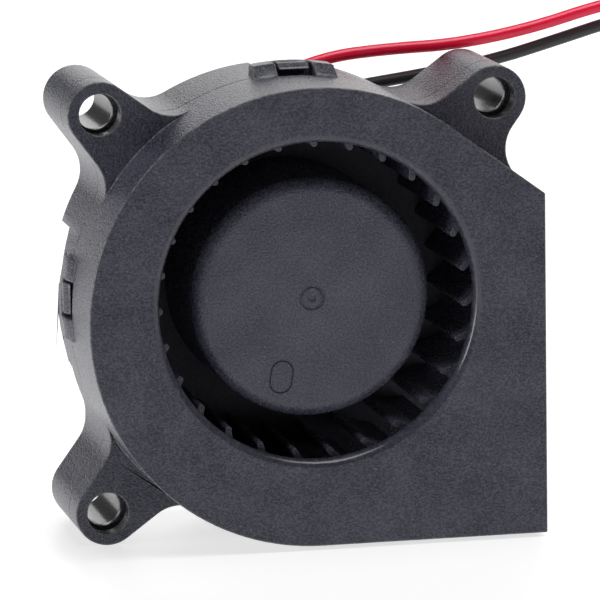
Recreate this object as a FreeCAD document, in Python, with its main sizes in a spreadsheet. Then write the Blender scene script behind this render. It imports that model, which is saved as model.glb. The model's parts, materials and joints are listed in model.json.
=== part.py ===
import FreeCAD, Part
import math
import os

from FreeCAD import Placement, Rotation, Vector

# DC blower fan: a snap-together scroll housing with three mounting ears, a brushless
# motor on its back plate and a 27-blade drum impeller that turns on the Y axis.
# X points out of the air outlet, Z is up and the inlet faces -Y. All sizes are millimetres.

doc = FreeCAD.newDocument("blower_fan")
sheet = doc.addObject("Spreadsheet::Sheet", "dims")

DIMENSIONS = [
    ("scroll_radius", 20.0, "outside radius of the round scroll wall"),
    ("scroll_height", 20.35, "height of the scroll centre above the ground"),
    ("outlet_face", 20.2, "distance of the outlet face from the scroll centre"),
    ("outlet_top", 30.3, "height of the upper outlet corner"),
    ("wall", 1.3, "side wall thickness"),
    ("front_y", -10.0, "front face of the inlet plate"),
    ("back_y", 10.0, "back face of the base plate"),
    ("parting_y", 0.4, "plane where the two shells meet"),
    ("plate", 1.2, "thickness of the inlet plate"),
    ("base", 1.4, "thickness of the base plate"),
    ("axis_height", 21.75, "height of the impeller axis"),
    ("inlet_radius", 13.85, "radius of the air inlet"),
    ("inlet_lip", 0.7, "rounding of the inlet lip"),
    ("ear_spacing", 35.0, "spacing of the mounting holes, both ways"),
    ("ear_radius", 2.85, "outside radius of an ear"),
    ("ear_face_y", -3.0, "front face of the ears"),
    ("ear_flare", 9.0, "angle between an ear's flank and its centre line"),
    ("ear_root", 3.4, "concave radius between an ear and the scroll"),
    ("screw_bore", 1.6, "bore radius in the front shell, for an M3 screw"),
    ("counterbore", 1.8, "bore radius in the ear face and in the rear shell"),
    ("counterbore_depth", 2.1, "depth of the larger bore in the ear face"),
    ("back_rounding", 0.6, "rounding of the base plate's outer edge"),
    ("lug_length", 7.2, "length of a snap lug along the wall"),
    ("lug_depth", 2.0, "depth of a snap lug behind the parting plane"),
    ("lug_ramp", 1.6, "length of the ramps that lead up to a lug on the front shell"),
    ("ramp_step", 0.1, "height at which a ramp starts"),
    ("ramp_crest", 0.2, "level stretch at the end of a ramp"),
    ("side_lug", 0.45, "height of the left lug over the wall"),
    ("top_lug", 0.95, "height of the upper lug over the wall"),
    ("floor_lug", 0.35, "height of the lower lug under the floor"),
    ("lug_slot", 3.3, "width of the opening in a snap lug"),
    ("lug_web", 0.5, "thickness of the web at the back of a lug's opening"),
    ("slot_floor", 19.2, "distance of that opening's floor from the scroll centre"),
    ("notch_floor", 19.6, "distance from the scroll centre of the notch between two ramps"),
    ("catch_width", 2.7, "width of the catch in that opening"),
    ("catch_back", 1.45, "distance of the catch's rear end from the parting plane"),
    ("catch_stem", 0.35, "thickness of the catch's upright stem"),
    ("hook_reach", 0.4, "how far the catch's hook stands in front of the parting plane"),
    ("hook_height", 0.55, "thickness of the hook"),
    ("hook_rise", 0.35, "rise of the slope on the hook"),
    ("hook_slope", 0.8, "length of the slope on the hook"),
    ("catch_drop", 0.1, "how far the catch stays below the lug"),
    ("recess_y", 4.4, "front end of the stretches of wall that are set back"),
    ("upper_recess", 19.05, "wall radius where the left wall is set back above its lug"),
    ("lower_recess", 19.45, "wall radius where the left wall is set back beside its lug"),
    ("top_recess", 19.4, "wall radius where the top wall is set back behind its lug"),
    ("hub_front_y", -7.4, "front face of the impeller hub"),
    ("hub_radius", 10.5, "outside radius of the hub"),
    ("hub_edge", 1.3, "rounding of the hub's front edge"),
    ("hub_wall", 0.9, "hub wall thickness"),
    ("mark_width", 0.25, "width of the moulding mark's groove"),
    ("mark_depth", 0.15, "depth of the moulding mark's groove"),
    ("gate_ring", 0.98, "radius of the moulding mark in the middle of the hub"),
    ("gate_pip", 0.35, "radius of the dimple in that mark"),
    ("insert_radius", 1.02, "end radius of the oval mould insert's mark on the hub"),
    ("insert_length", 0.9, "distance between the middles of that mark's round ends"),
    ("insert_tilt", 80.0, "direction of that mark's long axis"),
    ("blade_count", 27, "number of blades"),
    ("blade_start", 8.8, "angle of the first blade's inner end"),
    ("blade_inner", 13.2, "inner radius of the blades"),
    ("blade_outer", 16.45, "outer radius of the blades"),
    ("disc_radius", 16.65, "radius of the back disc that carries the blades"),
    ("blade_thick", 0.6, "blade thickness"),
    ("blade_sweep", 10.5, "angle by which a blade's outer end leads its inner end"),
    ("blade_lean", 35.0, "angle between a blade's inner end and the radius"),
    ("blade_front_y", -7.8, "front ends of the blades"),
    ("disc_y", 5.4, "front face of the impeller's back disc"),
    ("disc_thick", 1.0, "thickness of the back disc"),
    ("yoke_thick", 0.7, "wall of the steel yoke"),
    ("yoke_end_y", 5.0, "open end of the yoke"),
    ("magnet_inner", 7.7, "inner radius of the ring magnet"),
    ("magnet_y", -4.8, "front end of the magnet"),
    ("magnet_length", 9.4, "length of the magnet"),
    ("core_radius", 7.35, "outside radius of the stator core"),
    ("core_y", -3.2, "front end of the stator core"),
    ("core_length", 6.0, "length of the stator core"),
    ("core_ring", 4.2, "radius of the stator core's middle ring"),
    ("pole_neck", 1.6, "width of a pole's neck"),
    ("tip_thick", 1.1, "thickness of a pole's tip"),
    ("insulator", 0.7, "thickness of each stator insulator"),
    ("insulator_margin", 0.3, "how far the insulator stands over a pole's neck"),
    ("winding", 1.0, "thickness of the copper on a pole"),
    ("winding_in", 4.5, "inner radius of the copper"),
    ("winding_out", 5.6, "outer radius of the copper"),
    ("pin_circle", 6.6, "radius at which the terminal pins stand"),
    ("pin_radius", 0.3, "radius of a terminal pin"),
    ("pin_end_y", 8.1, "rear ends of the terminal pins"),
    ("solder_radius", 0.7, "radius of the solder round a pin"),
    ("solder_length", 1.3, "length of the solder on a lead's end"),
    ("chip_side", 2.9, "side of the square driver chip"),
    ("chip_height", 0.9, "height of the driver chip"),
    ("part_length", 1.6, "length of the capacitor and of the resistor"),
    ("part_width", 0.85, "width of the capacitor and of the resistor"),
    ("capacitor_height", 0.8, "height of the capacitor"),
    ("resistor_height", 0.5, "height of the resistor"),
    ("tube_radius", 3.0, "outside radius of the bearing tube"),
    ("tube_bore", 2.1, "bore radius of the bearing tube"),
    ("tube_y", -3.9, "front end of the bearing tube"),
    ("tube_end_y", 9.2, "rear end of the bearing tube"),
    ("washer", 0.5, "thickness of the oil seal washer and of the thrust pad"),
    ("bearing_end_y", 7.3, "rear end of the sleeve bearing"),
    ("bush_radius", 1.9, "radius of the brass bush in the hub"),
    ("bush_length", 1.9, "length of that bush"),
    ("clip_y", 7.7, "front face of the retaining ring"),
    ("clip_thick", 0.25, "thickness of the retaining ring"),
    ("clip_radius", 1.5, "radius of the retaining ring"),
    ("shaft_radius", 0.75, "shaft radius"),
    ("shaft_gap", 0.03, "running clearance of the shaft in its bearing"),
    ("seal_gap", 0.05, "running clearance of the shaft in the oil seal washer"),
    ("shaft_tip", 0.45, "rounding of the shaft's end"),
    ("shaft_end_y", 8.55, "rear end of the shaft"),
    ("board_y", 6.7, "front face of the circuit board"),
    ("board_thick", 0.7, "thickness of the circuit board"),
    ("board_radius", 10.8, "radius of the circuit board"),
    ("boss_radius", 4.6, "radius of the boss that the board sits on"),
    ("lead_slot", 1.9, "width of the slots that the leads leave by"),
    ("lead_diameter", 1.1, "outside diameter of each lead"),
    ("coil_x", 66.0, "middle of the wound leads, towards +X"),
    ("coil_y", 8.0, "middle of the wound leads, towards +Y"),
    ("coil_radius", 6.0, "radius of the turns, at their middle"),
    ("coil_height", 3.58, "height of one lead's turns"),
    ("red_coil_z", 3.6, "underside of the red lead's turns, which lie on the black ones"),
    ("plug_width", 7.5, "width of the connector, which lies on its side"),
    ("plug_length", 9.8, "length of the connector"),
    ("plug_thick", 5.75, "thickness of the connector"),
    ("plug_gap", 6.5, "distance of the connector from the middle of the coil"),
    ("plug_web", 1.0, "thickness of the connector's back wall"),
    ("contact_pitch", 2.5, "distance between the two contacts"),
    ("contact_width", 1.8, "width of a contact"),
    ("contact_wall", 0.3, "wall of a contact"),
    ("contact_setback", 0.6, "how far a contact sits behind the connector's mouth"),
]

for row, (alias, number, note) in enumerate(DIMENSIONS, start=1):
    sheet.set(f"A{row}", note)
    sheet.set(f"B{row}", str(number))
    sheet.setAlias(f"B{row}", alias)
doc.recompute()
size = {alias: float(sheet.get(alias)) for alias, _, _ in DIMENSIONS}

SCROLL = Vector(0, size["scroll_height"], 0)
AXIS = Vector(0, size["axis_height"], 0)
NODES = []

# How far a cutting profile runs past what it cuts, and the most that the round top of a
# lug falls from its highest point to its middle.
PAST = 1.0
ARC_SAG = 0.05


def turned(length, degrees):
    """A vector in a sketch, of this length and direction."""
    a = math.radians(degrees)
    return Vector(length * math.cos(a), length * math.sin(a), 0)


def keep(obj, name):
    """Names a finished sub-part."""
    obj.Label = name
    NODES.append(obj)
    return obj


def new_body(name):
    body = doc.addObject("PartDesign::Body", name)
    return keep(body, name)


def sketch_at(body, name, y, edges, on_axis):
    """A sketch on the body's XZ plane, moved to the depth that the expression y gives.

    Its centre is the origin, or the impeller axis where on_axis is set.
    """
    sk = body.newObject("Sketcher::SketchObject", name)
    plane = next(f for f in body.Origin.OriginFeatures if f.Role == "XZ_Plane")
    sk.AttachmentSupport = [(plane, "")]
    sk.MapMode = "FlatFace"
    sk.setExpression("AttachmentOffset.Base.z", f"-({y})")
    if on_axis:
        sk.setExpression("AttachmentOffset.Base.y", "dims.axis_height")
    sk.addGeometry(edges, False)
    return sk


def pad(body, name, y, depth, edges, on_axis=False):
    """Adds a profile that runs back from the depth y."""
    feature = body.newObject("PartDesign::Pad", name)
    feature.Profile = sketch_at(body, name + "_profile", y, edges, on_axis)
    feature.Reversed = True
    feature.setExpression("Length", depth)
    doc.recompute()
    return feature


def pocket(body, name, y, depth, edges, on_axis=False):
    """Cuts a profile that runs back from the depth y."""
    before = body.Shape.Volume
    feature = body.newObject("PartDesign::Pocket", name)
    feature.Profile = sketch_at(body, name + "_profile", y, edges, on_axis)
    feature.setExpression("Length", depth)
    doc.recompute()
    if body.Shape.Volume > before - 1e-6:
        raise RuntimeError(name + " cuts nothing")
    return feature


def closed(points):
    """Straight edges round a closed outline."""
    return [Part.LineSegment(a, b) for a, b in zip(points, points[1:] + points[:1])]


def circle(centre, radius):
    return [Part.Circle(centre, Vector(0, 0, 1), radius)]


def ring(inner, outer):
    """Two circles about the sketch's centre."""
    return circle(Vector(), outer) + circle(Vector(), inner)


def repeated(body, name, feature, count):
    """Repeats a feature round the centre of its sketch."""
    pattern = body.newObject("PartDesign::PolarPattern", name)
    pattern.Originals = [feature]
    pattern.Axis = (feature.Profile[0], ["N_Axis"])
    pattern.Angle = 360
    pattern.Occurrences = count
    body.Tip = pattern
    doc.recompute()
    return pattern


def arc(centre, start, end, clockwise=False):
    """The arc about a centre from one point to another."""
    first, last = (end, start) if clockwise else (start, end)
    a, b = (math.atan2(p.y - centre.y, p.x - centre.x) for p in (first, last))
    whole = Part.Circle(centre, Vector(0, 0, 1), (first - centre).Length)
    return Part.ArcOfCircle(whole, a, b if b > a else b + 2 * math.pi)


def box(x0, x1, z0, z1):
    return closed([Vector(x0, z0, 0), Vector(x1, z0, 0), Vector(x1, z1, 0), Vector(x0, z1, 0)])


def dress_up(kind, body, name, chosen):
    """A fillet or chamfer on the body's edges that the test picks."""
    tip = body.Tip
    picked = [f"Edge{i}" for i, edge in enumerate(tip.Shape.Edges, start=1) if chosen(edge)]
    if not picked:
        raise RuntimeError(name + " finds no edge")
    feature = body.newObject("PartDesign::" + kind, name)
    feature.Base = (tip, picked)
    return feature


def round_edges(body, name, radius, chosen):
    fillet = dress_up("Fillet", body, name, chosen)
    fillet.setExpression("Radius", radius)
    doc.recompute()


# Scroll outline: a round wall, a flat floor and a straight roof that runs down to the
# outlet corner as a tangent of the round wall.
CORNER = Vector(size["outlet_face"], size["outlet_top"], 0)
REACH = CORNER - SCROLL
ROOF_ANGLE = math.degrees(
    math.atan2(REACH.y, REACH.x) + math.acos(size["scroll_radius"] / REACH.Length)
)
ROOF_OUT = turned(1, ROOF_ANGLE)


def scroll_outline(inset, past_outlet):
    """The scroll's outline, moved inwards by inset and carried past the outlet face."""
    radius = size["scroll_radius"] - inset
    roof_start = SCROLL + ROOF_OUT * radius
    low = Vector(0, SCROLL.y - radius, 0)
    end_x = size["outlet_face"] + past_outlet
    along = Vector(ROOF_OUT.y, -ROOF_OUT.x, 0)
    roof_end = roof_start + along * ((end_x - roof_start.x) / along.x)
    floor_end = Vector(end_x, low.y, 0)
    return [
        arc(SCROLL, roof_start, low),
        Part.LineSegment(low, floor_end),
        Part.LineSegment(floor_end, roof_end),
        Part.LineSegment(roof_end, roof_start),
    ]


def ear_flank(ear, side, on_roof):
    """Where one side of an ear leaves its round end, and where its root meets the scroll."""
    inward = (SCROLL - ear).normalize()
    heading = math.degrees(math.atan2(inward.y, inward.x)) - side * size["ear_flare"]
    along, out = turned(1, heading), turned(1, heading - side * 90)
    root = size["ear_root"]
    start = ear + out * size["ear_radius"]
    lifted = start + out * root
    if on_roof:
        gap = size["scroll_radius"] + root - (lifted - SCROLL).dot(ROOF_OUT)
        step = gap / along.dot(ROOF_OUT)
        centre = lifted + along * step
        meets = centre - ROOF_OUT * root
    else:
        off = lifted - SCROLL
        half = off.dot(along)
        reach = size["scroll_radius"] + root
        step = -half - math.sqrt(half * half - off.dot(off) + reach * reach)
        centre = lifted + along * step
        meets = SCROLL + (centre - SCROLL) * (size["scroll_radius"] / reach)
    return start, start + along * step, centre, meets


def ear_outline(ear, on_roof=False):
    """An ear with flared flanks and concave roots; its inner edge lies inside the wall."""
    a_start, a_end, a_centre, a_meets = ear_flank(ear, 1, False)
    b_start, b_end, b_centre, b_meets = ear_flank(ear, -1, on_roof)
    depth = size["wall"] / 2
    a_in = SCROLL + (a_meets - SCROLL) * (1 - depth / size["scroll_radius"])
    inside = size["scroll_radius"] - depth
    edges = [
        Part.LineSegment(a_end, a_start),
        arc(ear, a_start, b_start, clockwise=True),
        Part.LineSegment(b_start, b_end),
        arc(b_centre, b_end, b_meets),
        arc(a_centre, a_meets, a_end),
        Part.LineSegment(a_in, a_meets),
    ]
    if on_roof:
        b_in = b_meets - ROOF_OUT * depth
        turn = SCROLL + ROOF_OUT * inside
        edges += [Part.LineSegment(b_meets, b_in), Part.LineSegment(b_in, turn)]
        edges += [arc(SCROLL, turn, a_in)]
    else:
        b_in = SCROLL + (b_meets - SCROLL) * (1 - depth / size["scroll_radius"])
        edges += [Part.LineSegment(b_meets, b_in), arc(SCROLL, b_in, a_in)]
    return edges


HALF_SPACING = size["ear_spacing"] / 2
EARS = {
    "top_left": (SCROLL + Vector(-HALF_SPACING, HALF_SPACING, 0), False),
    "top_right": (SCROLL + Vector(HALF_SPACING, HALF_SPACING, 0), True),
    "bottom_left": (SCROLL + Vector(-HALF_SPACING, -HALF_SPACING, 0), False),
}

# Snap lugs: distance of the lug's middle along the wall from the scroll centre, its direction
# out of the wall, the name of its height and whether the wall is round there.
LUGS = {
    "left": (-1.05, 180, "side_lug", True),
    "top": (-0.3, 90, "top_lug", True),
    "bottom": (4.0, 270, "floor_lug", False),
}


def lug_block(lug, half_width, low, high, round_top=False):
    """A block across the wall: half its width, and its two distances from the scroll centre."""
    along, heading, _, _ = LUGS[lug]
    out, side = turned(1, heading), turned(1, heading + 90)
    a, b = (SCROLL + side * (along + end) for end in (-half_width, half_width))
    if not round_top:
        return closed([a + out * low, b + out * low, b + out * high, a + out * high])
    rise_a, rise_b = (math.sqrt(high ** 2 - (along + end) ** 2) for end in (-half_width, half_width))
    corners = [a + out * rise_a, a + out * low, b + out * low, b + out * rise_b]
    sides = [Part.LineSegment(p, q) for p, q in zip(corners, corners[1:])]
    return sides + [arc(SCROLL, corners[0], corners[3])]


# Stretches of the rear shell's wall that are set back, as angles about the scroll centre.
RECESSES = {"upper_recess": (161, 178), "lower_recess": (178, 200), "top_recess": (80, 95)}

# Middles of the round ends of the slots in the base plate.
LEAD_SLOTS = {
    "red": (Vector(-4.0, 33.8, 0), Vector(0.1, 37.9, 0)),
    "black": (Vector(-2.0, 31.8, 0), Vector(2.2, 35.7, 0)),
}

# Heights at which the leads come off the coil: the black turns wind up and the red ones down.
BLACK_EXIT_Z = 3.03
RED_EXIT_Z = 4.15

# Middle of the oval mark on the hub, from the impeller axis.
INSERT_MARK = Vector(-2.82, -6.81, 0)

# Motor: the stator's poles and the places of its terminal pins and of the parts on its board.
POLES = 4
CORE_TIP_ANGLE = 36
INSULATOR_TIP_ANGLE = 32
PIN_ANGLES = (155, 205, 295)
CHIP_PLACE = (5.0, 5.0)
CAPACITOR_PLACE = (6.6, -3.2)
RESISTOR_PLACE = (6.6, -5.2)

# The turns are a little thinner than the lead, so that neighbours stay clear of each other.
COIL_PLAY = 0.02
# Length of the straight stretches past the middle of the coil where the leads join it.
COIL_OVERLAP = 0.6

# Direction of the leads' soldered ends on the board.
SOLDER_HEADING = Vector(0.51, 0.86, 0)


def add_ears(body, y, depth):
    for name, (ear, on_roof) in EARS.items():
        pad(body, "ear_" + name, y, depth, ear_outline(ear, on_roof))


def front_cover():
    body = new_body("front_cover")
    pad(body, "cover_block", "dims.front_y", "dims.parting_y - dims.front_y", scroll_outline(0, 0))
    pocket(body, "front_air_space", "dims.front_y + dims.plate",
           "dims.parting_y - dims.front_y - dims.plate", scroll_outline(size["wall"], PAST))
    pocket(body, "inlet", "dims.front_y", "dims.plate", circle(AXIS, size["inlet_radius"]))
    lip_y = size["front_y"]
    round_edges(body, "inlet_rounding", "dims.inlet_lip", lambda e: (
        e.Curve.TypeId == "Part::GeomCircle"
        and abs(e.Curve.Radius - size["inlet_radius"]) < 1e-4
        and abs(e.Vertexes[0].Y - lip_y) < 1e-4
    ))
    add_ears(body, "dims.ear_face_y", "dims.parting_y - dims.ear_face_y")
    for name, (ear, _) in EARS.items():
        pocket(body, "screw_bore_" + name, "dims.ear_face_y", "dims.parting_y - dims.ear_face_y",
               circle(ear, size["screw_bore"]))
        pocket(body, "counterbore_" + name, "dims.ear_face_y", "dims.counterbore_depth",
               circle(ear, size["counterbore"]))
    for lug in LUGS:
        add_ramps(body, lug)
        add_catch(body, lug)
    return body


def add_slope(body, name, lug, start, top, rise, run):
    """Slopes the outer edge of a block's front face, which lies at the depth start."""
    out = turned(1, LUGS[lug][1])

    def is_outer(edge):
        middle = edge.valueAt((edge.FirstParameter + edge.LastParameter) / 2)
        reach = (Vector(middle.x, middle.z, 0) - SCROLL).dot(out)
        return abs(middle.y - start) < 1e-4 and reach > top - ARC_SAG

    chamfer = dress_up("Chamfer", body, name, is_outer)
    chamfer.ChamferType = "Two distances"
    chamfer.setExpression("Size", rise)
    chamfer.setExpression("Size2", run)
    doc.recompute()


def add_ramps(body, lug):
    """Two ramps on the front shell, with a notch in the wall between them."""
    _, _, height, is_round = LUGS[lug]
    ramp_y = "dims.parting_y - dims.lug_ramp"
    inside = size["scroll_radius"] - size["wall"] / 2
    top = size["scroll_radius"] + size[height]
    pad(body, "ramps_" + lug, ramp_y, "dims.lug_ramp",
        lug_block(lug, size["lug_length"] / 2, inside, top, is_round))
    add_slope(body, "slope_" + lug, lug, size["parting_y"] - size["lug_ramp"], top,
              f"dims.{height} - dims.ramp_step", "dims.lug_ramp - dims.ramp_crest")
    pocket(body, "notch_" + lug, ramp_y, "dims.lug_ramp",
           lug_block(lug, size["lug_slot"] / 2, size["notch_floor"], top + PAST))


def add_catch(body, lug):
    """A hook on a tongue and a stem, in the opening of the rear shell's lug."""
    half = size["catch_width"] / 2
    top = size["scroll_radius"] + size[LUGS[lug][2]] - size["catch_drop"]
    pad(body, "tongue_" + lug, "dims.parting_y", "dims.catch_back",
        lug_block(lug, half, size["slot_floor"], size["notch_floor"]))
    pad(body, "stem_" + lug, "dims.parting_y + dims.catch_back - dims.catch_stem", "dims.catch_stem",
        lug_block(lug, half, size["notch_floor"], top))
    pad(body, "hook_" + lug, "dims.parting_y - dims.hook_reach",
        "dims.catch_back - dims.catch_stem + dims.hook_reach",
        lug_block(lug, half, top - size["hook_height"], top))
    add_slope(body, "hook_slope_" + lug, lug, size["parting_y"] - size["hook_reach"], top,
              "dims.hook_rise", "dims.hook_slope")


def rear_housing():
    body = new_body("rear_housing")
    pad(body, "wall_block", "dims.parting_y", "dims.back_y - dims.parting_y", scroll_outline(0, 0))
    add_ears(body, "dims.parting_y", "dims.back_y - dims.parting_y")
    back = size["back_y"]
    round_edges(body, "back_edge", "dims.back_rounding", lambda e: (
        all(abs(v.Y - back) < 1e-4 for v in e.Vertexes)
        and not all(abs(v.X - size["outlet_face"]) < 1e-4 for v in e.Vertexes)
    ))
    pocket(body, "rear_air_space", "dims.parting_y", "dims.back_y - dims.base - dims.parting_y",
           scroll_outline(size["wall"], PAST))
    for name, (start, end) in RECESSES.items():
        pocket(body, name, "dims.recess_y", "dims.back_y - dims.recess_y",
               ring_sector(size[name], start, end))
    inside = size["scroll_radius"] - size["wall"] / 2
    for lug, (_, _, height, is_round) in LUGS.items():
        top = size["scroll_radius"] + size[height]
        pad(body, "lug_" + lug, "dims.parting_y", "dims.lug_depth",
            lug_block(lug, size["lug_length"] / 2, inside, top, is_round))
        pocket(body, "lug_slot_" + lug, "dims.parting_y", "dims.lug_depth - dims.lug_web",
               lug_block(lug, size["lug_slot"] / 2, size["slot_floor"], top + PAST))
    for name, (ear, _) in EARS.items():
        pocket(body, "rear_bore_" + name, "dims.parting_y", "dims.back_y - dims.parting_y",
               circle(ear, size["counterbore"]))
    pad(body, "board_boss", "dims.board_y + dims.board_thick",
        "dims.back_y - dims.base - dims.board_y - dims.board_thick",
        circle(AXIS, size["boss_radius"]))
    pocket(body, "tube_socket", "dims.board_y + dims.board_thick",
           "dims.tube_end_y - dims.board_y - dims.board_thick", circle(AXIS, size["tube_radius"]))
    for name, (start, end) in LEAD_SLOTS.items():
        pocket(body, "lead_slot_" + name, "dims.back_y - dims.base", "dims.base",
               slot(start, end, size["lead_slot"] / 2))
    return body


def ring_sector(inner, start, end):
    """The sector of wall outside an inner radius, between two angles."""
    outer = size["scroll_radius"] + PAST / 2
    a, b = (SCROLL + turned(inner, angle) for angle in (start, end))
    c, d = (SCROLL + turned(outer, angle) for angle in (end, start))
    return [arc(SCROLL, a, b), Part.LineSegment(b, c), arc(SCROLL, c, d, clockwise=True),
            Part.LineSegment(d, a)]


def slot(start, end, radius):
    """A slot with round ends between two middles."""
    side = (end - start).normalize()
    across = Vector(-side.y, side.x, 0) * radius
    return [
        Part.LineSegment(start - across, end - across),
        arc(end, end - across, end + across),
        Part.LineSegment(end + across, start + across),
        arc(start, start + across, start - across),
    ]


def blade_outline():
    """One forward-curved blade: two arcs about one centre, with round ends."""
    start = size["blade_start"]
    lean = start + size["blade_lean"]
    inner = turned(size["blade_inner"] + size["blade_thick"] / 2, start)
    outer = turned(size["blade_outer"] - size["blade_thick"] / 2, start + size["blade_sweep"])
    chord = outer - inner
    bend = math.degrees(math.atan2(chord.y, chord.x)) - lean
    radius = chord.Length / 2 / math.sin(math.radians(bend))
    centre = inner + turned(radius, lean + 90)
    half = size["blade_thick"] / 2
    near, far = (radius - half) / radius, (radius + half) / radius
    a, b = (centre + (end - centre) * far for end in (inner, outer))
    c, d = (centre + (end - centre) * near for end in (outer, inner))
    return [arc(centre, a, b), arc(outer, b, c), arc(centre, c, d, clockwise=True),
            arc(inner, d, a)]


def impeller():
    body = new_body("impeller")
    disc_end = "dims.disc_y + dims.disc_thick"
    pad(body, "hub", "dims.hub_front_y", disc_end + " - dims.hub_front_y",
        circle(Vector(), size["hub_radius"]), on_axis=True)
    front = size["hub_front_y"]
    round_edges(body, "hub_rounding", "dims.hub_edge", lambda e: abs(e.Vertexes[0].Y - front) < 1e-4)
    pad(body, "back_disc", "dims.disc_y", "dims.disc_thick",
        circle(Vector(), size["disc_radius"]), on_axis=True)
    pocket(body, "yoke_seat", "dims.hub_front_y + dims.hub_wall",
           disc_end + " - dims.hub_front_y - dims.hub_wall",
           circle(Vector(), size["hub_radius"] - size["hub_wall"]), on_axis=True)
    half_width = size["mark_width"] / 2
    pocket(body, "gate_mark", "dims.hub_front_y", "dims.mark_depth",
           ring(size["gate_ring"] - half_width, size["gate_ring"] + half_width), on_axis=True)
    pocket(body, "gate_dimple", "dims.hub_front_y", "dims.mark_depth",
           circle(Vector(), size["gate_pip"]), on_axis=True)
    reach = turned(size["insert_length"] / 2, size["insert_tilt"])
    start, end = INSERT_MARK - reach, INSERT_MARK + reach
    pocket(body, "insert_mark", "dims.hub_front_y", "dims.mark_depth",
           slot(start, end, size["insert_radius"]) + slot(start, end, size["insert_radius"] - half_width),
           on_axis=True)
    blade = pad(body, "blade", "dims.blade_front_y", "dims.disc_y - dims.blade_front_y",
                blade_outline(), on_axis=True)
    repeated(body, "blades", blade, int(size["blade_count"]))
    return body


def turned_piece(name, y, depth, outer, bore=None):
    """A round piece on the impeller axis, with an optional bore."""
    body = new_body(name)
    pad(body, name + "_disc", y, depth, circle(Vector(), outer), on_axis=True)
    if bore:
        pocket(body, name + "_bore", y, depth, circle(Vector(), bore), on_axis=True)
    return body


def rotor_pieces():
    yoke_outer = size["hub_radius"] - size["hub_wall"]
    yoke_inner = yoke_outer - size["yoke_thick"]
    yoke_front = "dims.hub_front_y + dims.hub_wall"
    yoke = turned_piece("yoke_cup", yoke_front, f"dims.yoke_end_y - ({yoke_front})", yoke_outer,
                        size["bush_radius"])
    pocket(yoke, "yoke_hollow", yoke_front + " + dims.yoke_thick",
           f"dims.yoke_end_y - ({yoke_front}) - dims.yoke_thick", circle(Vector(), yoke_inner),
           on_axis=True)
    turned_piece("ring_magnet", "dims.magnet_y", "dims.magnet_length", yoke_inner,
                 size["magnet_inner"])
    turned_piece("shaft_bush", yoke_front, "dims.bush_length", size["bush_radius"],
                 size["shaft_radius"])
    shaft = turned_piece("shaft", yoke_front, f"dims.shaft_end_y - ({yoke_front})",
                         size["shaft_radius"])
    end = size["shaft_end_y"]
    round_edges(shaft, "rounded_tip", "dims.shaft_tip",
                lambda e: abs(e.Vertexes[0].Y - end) < 1e-4)
    turned_piece("retaining_ring", "dims.clip_y", "dims.clip_thick", size["clip_radius"],
                 size["shaft_radius"])


def bearing_pieces():
    turned_piece("bearing_tube", "dims.tube_y", "dims.tube_end_y - dims.tube_y",
                 size["tube_radius"], size["tube_bore"])
    turned_piece("oil_seal_washer", "dims.tube_y", "dims.washer", size["tube_bore"],
                 size["shaft_radius"] + size["seal_gap"])
    turned_piece("sleeve_bearing", "dims.tube_y + dims.washer",
                 "dims.bearing_end_y - dims.tube_y - dims.washer", size["tube_bore"],
                 size["shaft_radius"] + size["shaft_gap"])
    turned_piece("thrust_pad", "dims.tube_end_y - dims.washer", "dims.washer", size["tube_bore"])


def pole_outline(neck, tip_radius, tip_angle, tip_thick):
    """One pole: a neck out of the ring and a curved tip."""
    half = neck / 2
    low = (size["core_ring"] + size["tube_radius"]) / 2
    inner = tip_radius - tip_thick
    edge = math.sqrt(inner * inner - half * half)
    a, b = turned(inner, tip_angle), turned(tip_radius, tip_angle)
    c, d = turned(tip_radius, -tip_angle), turned(inner, -tip_angle)
    return [
        Part.LineSegment(Vector(low, half, 0), Vector(edge, half, 0)),
        arc(Vector(), Vector(edge, half, 0), a),
        Part.LineSegment(a, b),
        arc(Vector(), b, c, clockwise=True),
        Part.LineSegment(c, d),
        arc(Vector(), d, Vector(edge, -half, 0)),
        Part.LineSegment(Vector(edge, -half, 0), Vector(low, -half, 0)),
        Part.LineSegment(Vector(low, -half, 0), Vector(low, half, 0)),
    ]


def poled_piece(name, y, depth, neck, tip_radius, tip_angle, tip_thick):
    """A ring with four poles that fits round the bearing tube."""
    body = new_body(name)
    pad(body, name + "_ring", y, depth, ring(size["tube_radius"], size["core_ring"]), on_axis=True)
    pole = pad(body, name + "_pole", y, depth,
               pole_outline(neck, tip_radius, tip_angle, tip_thick), on_axis=True)
    repeated(body, name + "_poles", pole, POLES)
    return body


def stator_pieces():
    radius, neck, thick = size["core_radius"], size["pole_neck"], size["tip_thick"]
    core_end = "dims.core_y + dims.core_length"
    poled_piece("stator_core", "dims.core_y", "dims.core_length", neck, radius,
                CORE_TIP_ANGLE, thick)
    margin = size["insulator_margin"]
    inner_neck = neck + 2 * margin
    for name, y in (("front_insulator", "dims.core_y - dims.insulator"), ("rear_insulator", core_end)):
        poled_piece(name, y, "dims.insulator", inner_neck, radius - margin,
                    INSULATOR_TIP_ANGLE, thick - margin / 2)
    across = inner_neck / 2 + size["winding"]
    for number in range(POLES):
        body = new_body(f"winding_{number + 1}")
        heading = number * 360 / POLES
        pad(body, f"copper_{number + 1}", "dims.core_y - dims.insulator - dims.winding",
            "dims.core_length + 2 * (dims.insulator + dims.winding)",
            radial_box(heading, size["winding_in"], size["winding_out"], across), on_axis=True)
        pocket(body, f"neck_{number + 1}", "dims.core_y - dims.insulator",
               "dims.core_length + 2 * dims.insulator",
               radial_box(heading, size["winding_in"] - 1, size["winding_out"] + 1, inner_neck / 2),
               on_axis=True)


def radial_box(heading, inner, outer, half_width):
    along, across = turned(1, heading), turned(half_width, heading + 90)
    return closed([along * inner - across, along * outer - across,
                   along * outer + across, along * inner + across])


def shifted_box(middle, length, width):
    """A box about a point that is given from the impeller axis."""
    x, z = middle
    return box(x - length / 2, x + length / 2, z - width / 2, z + width / 2)


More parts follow.
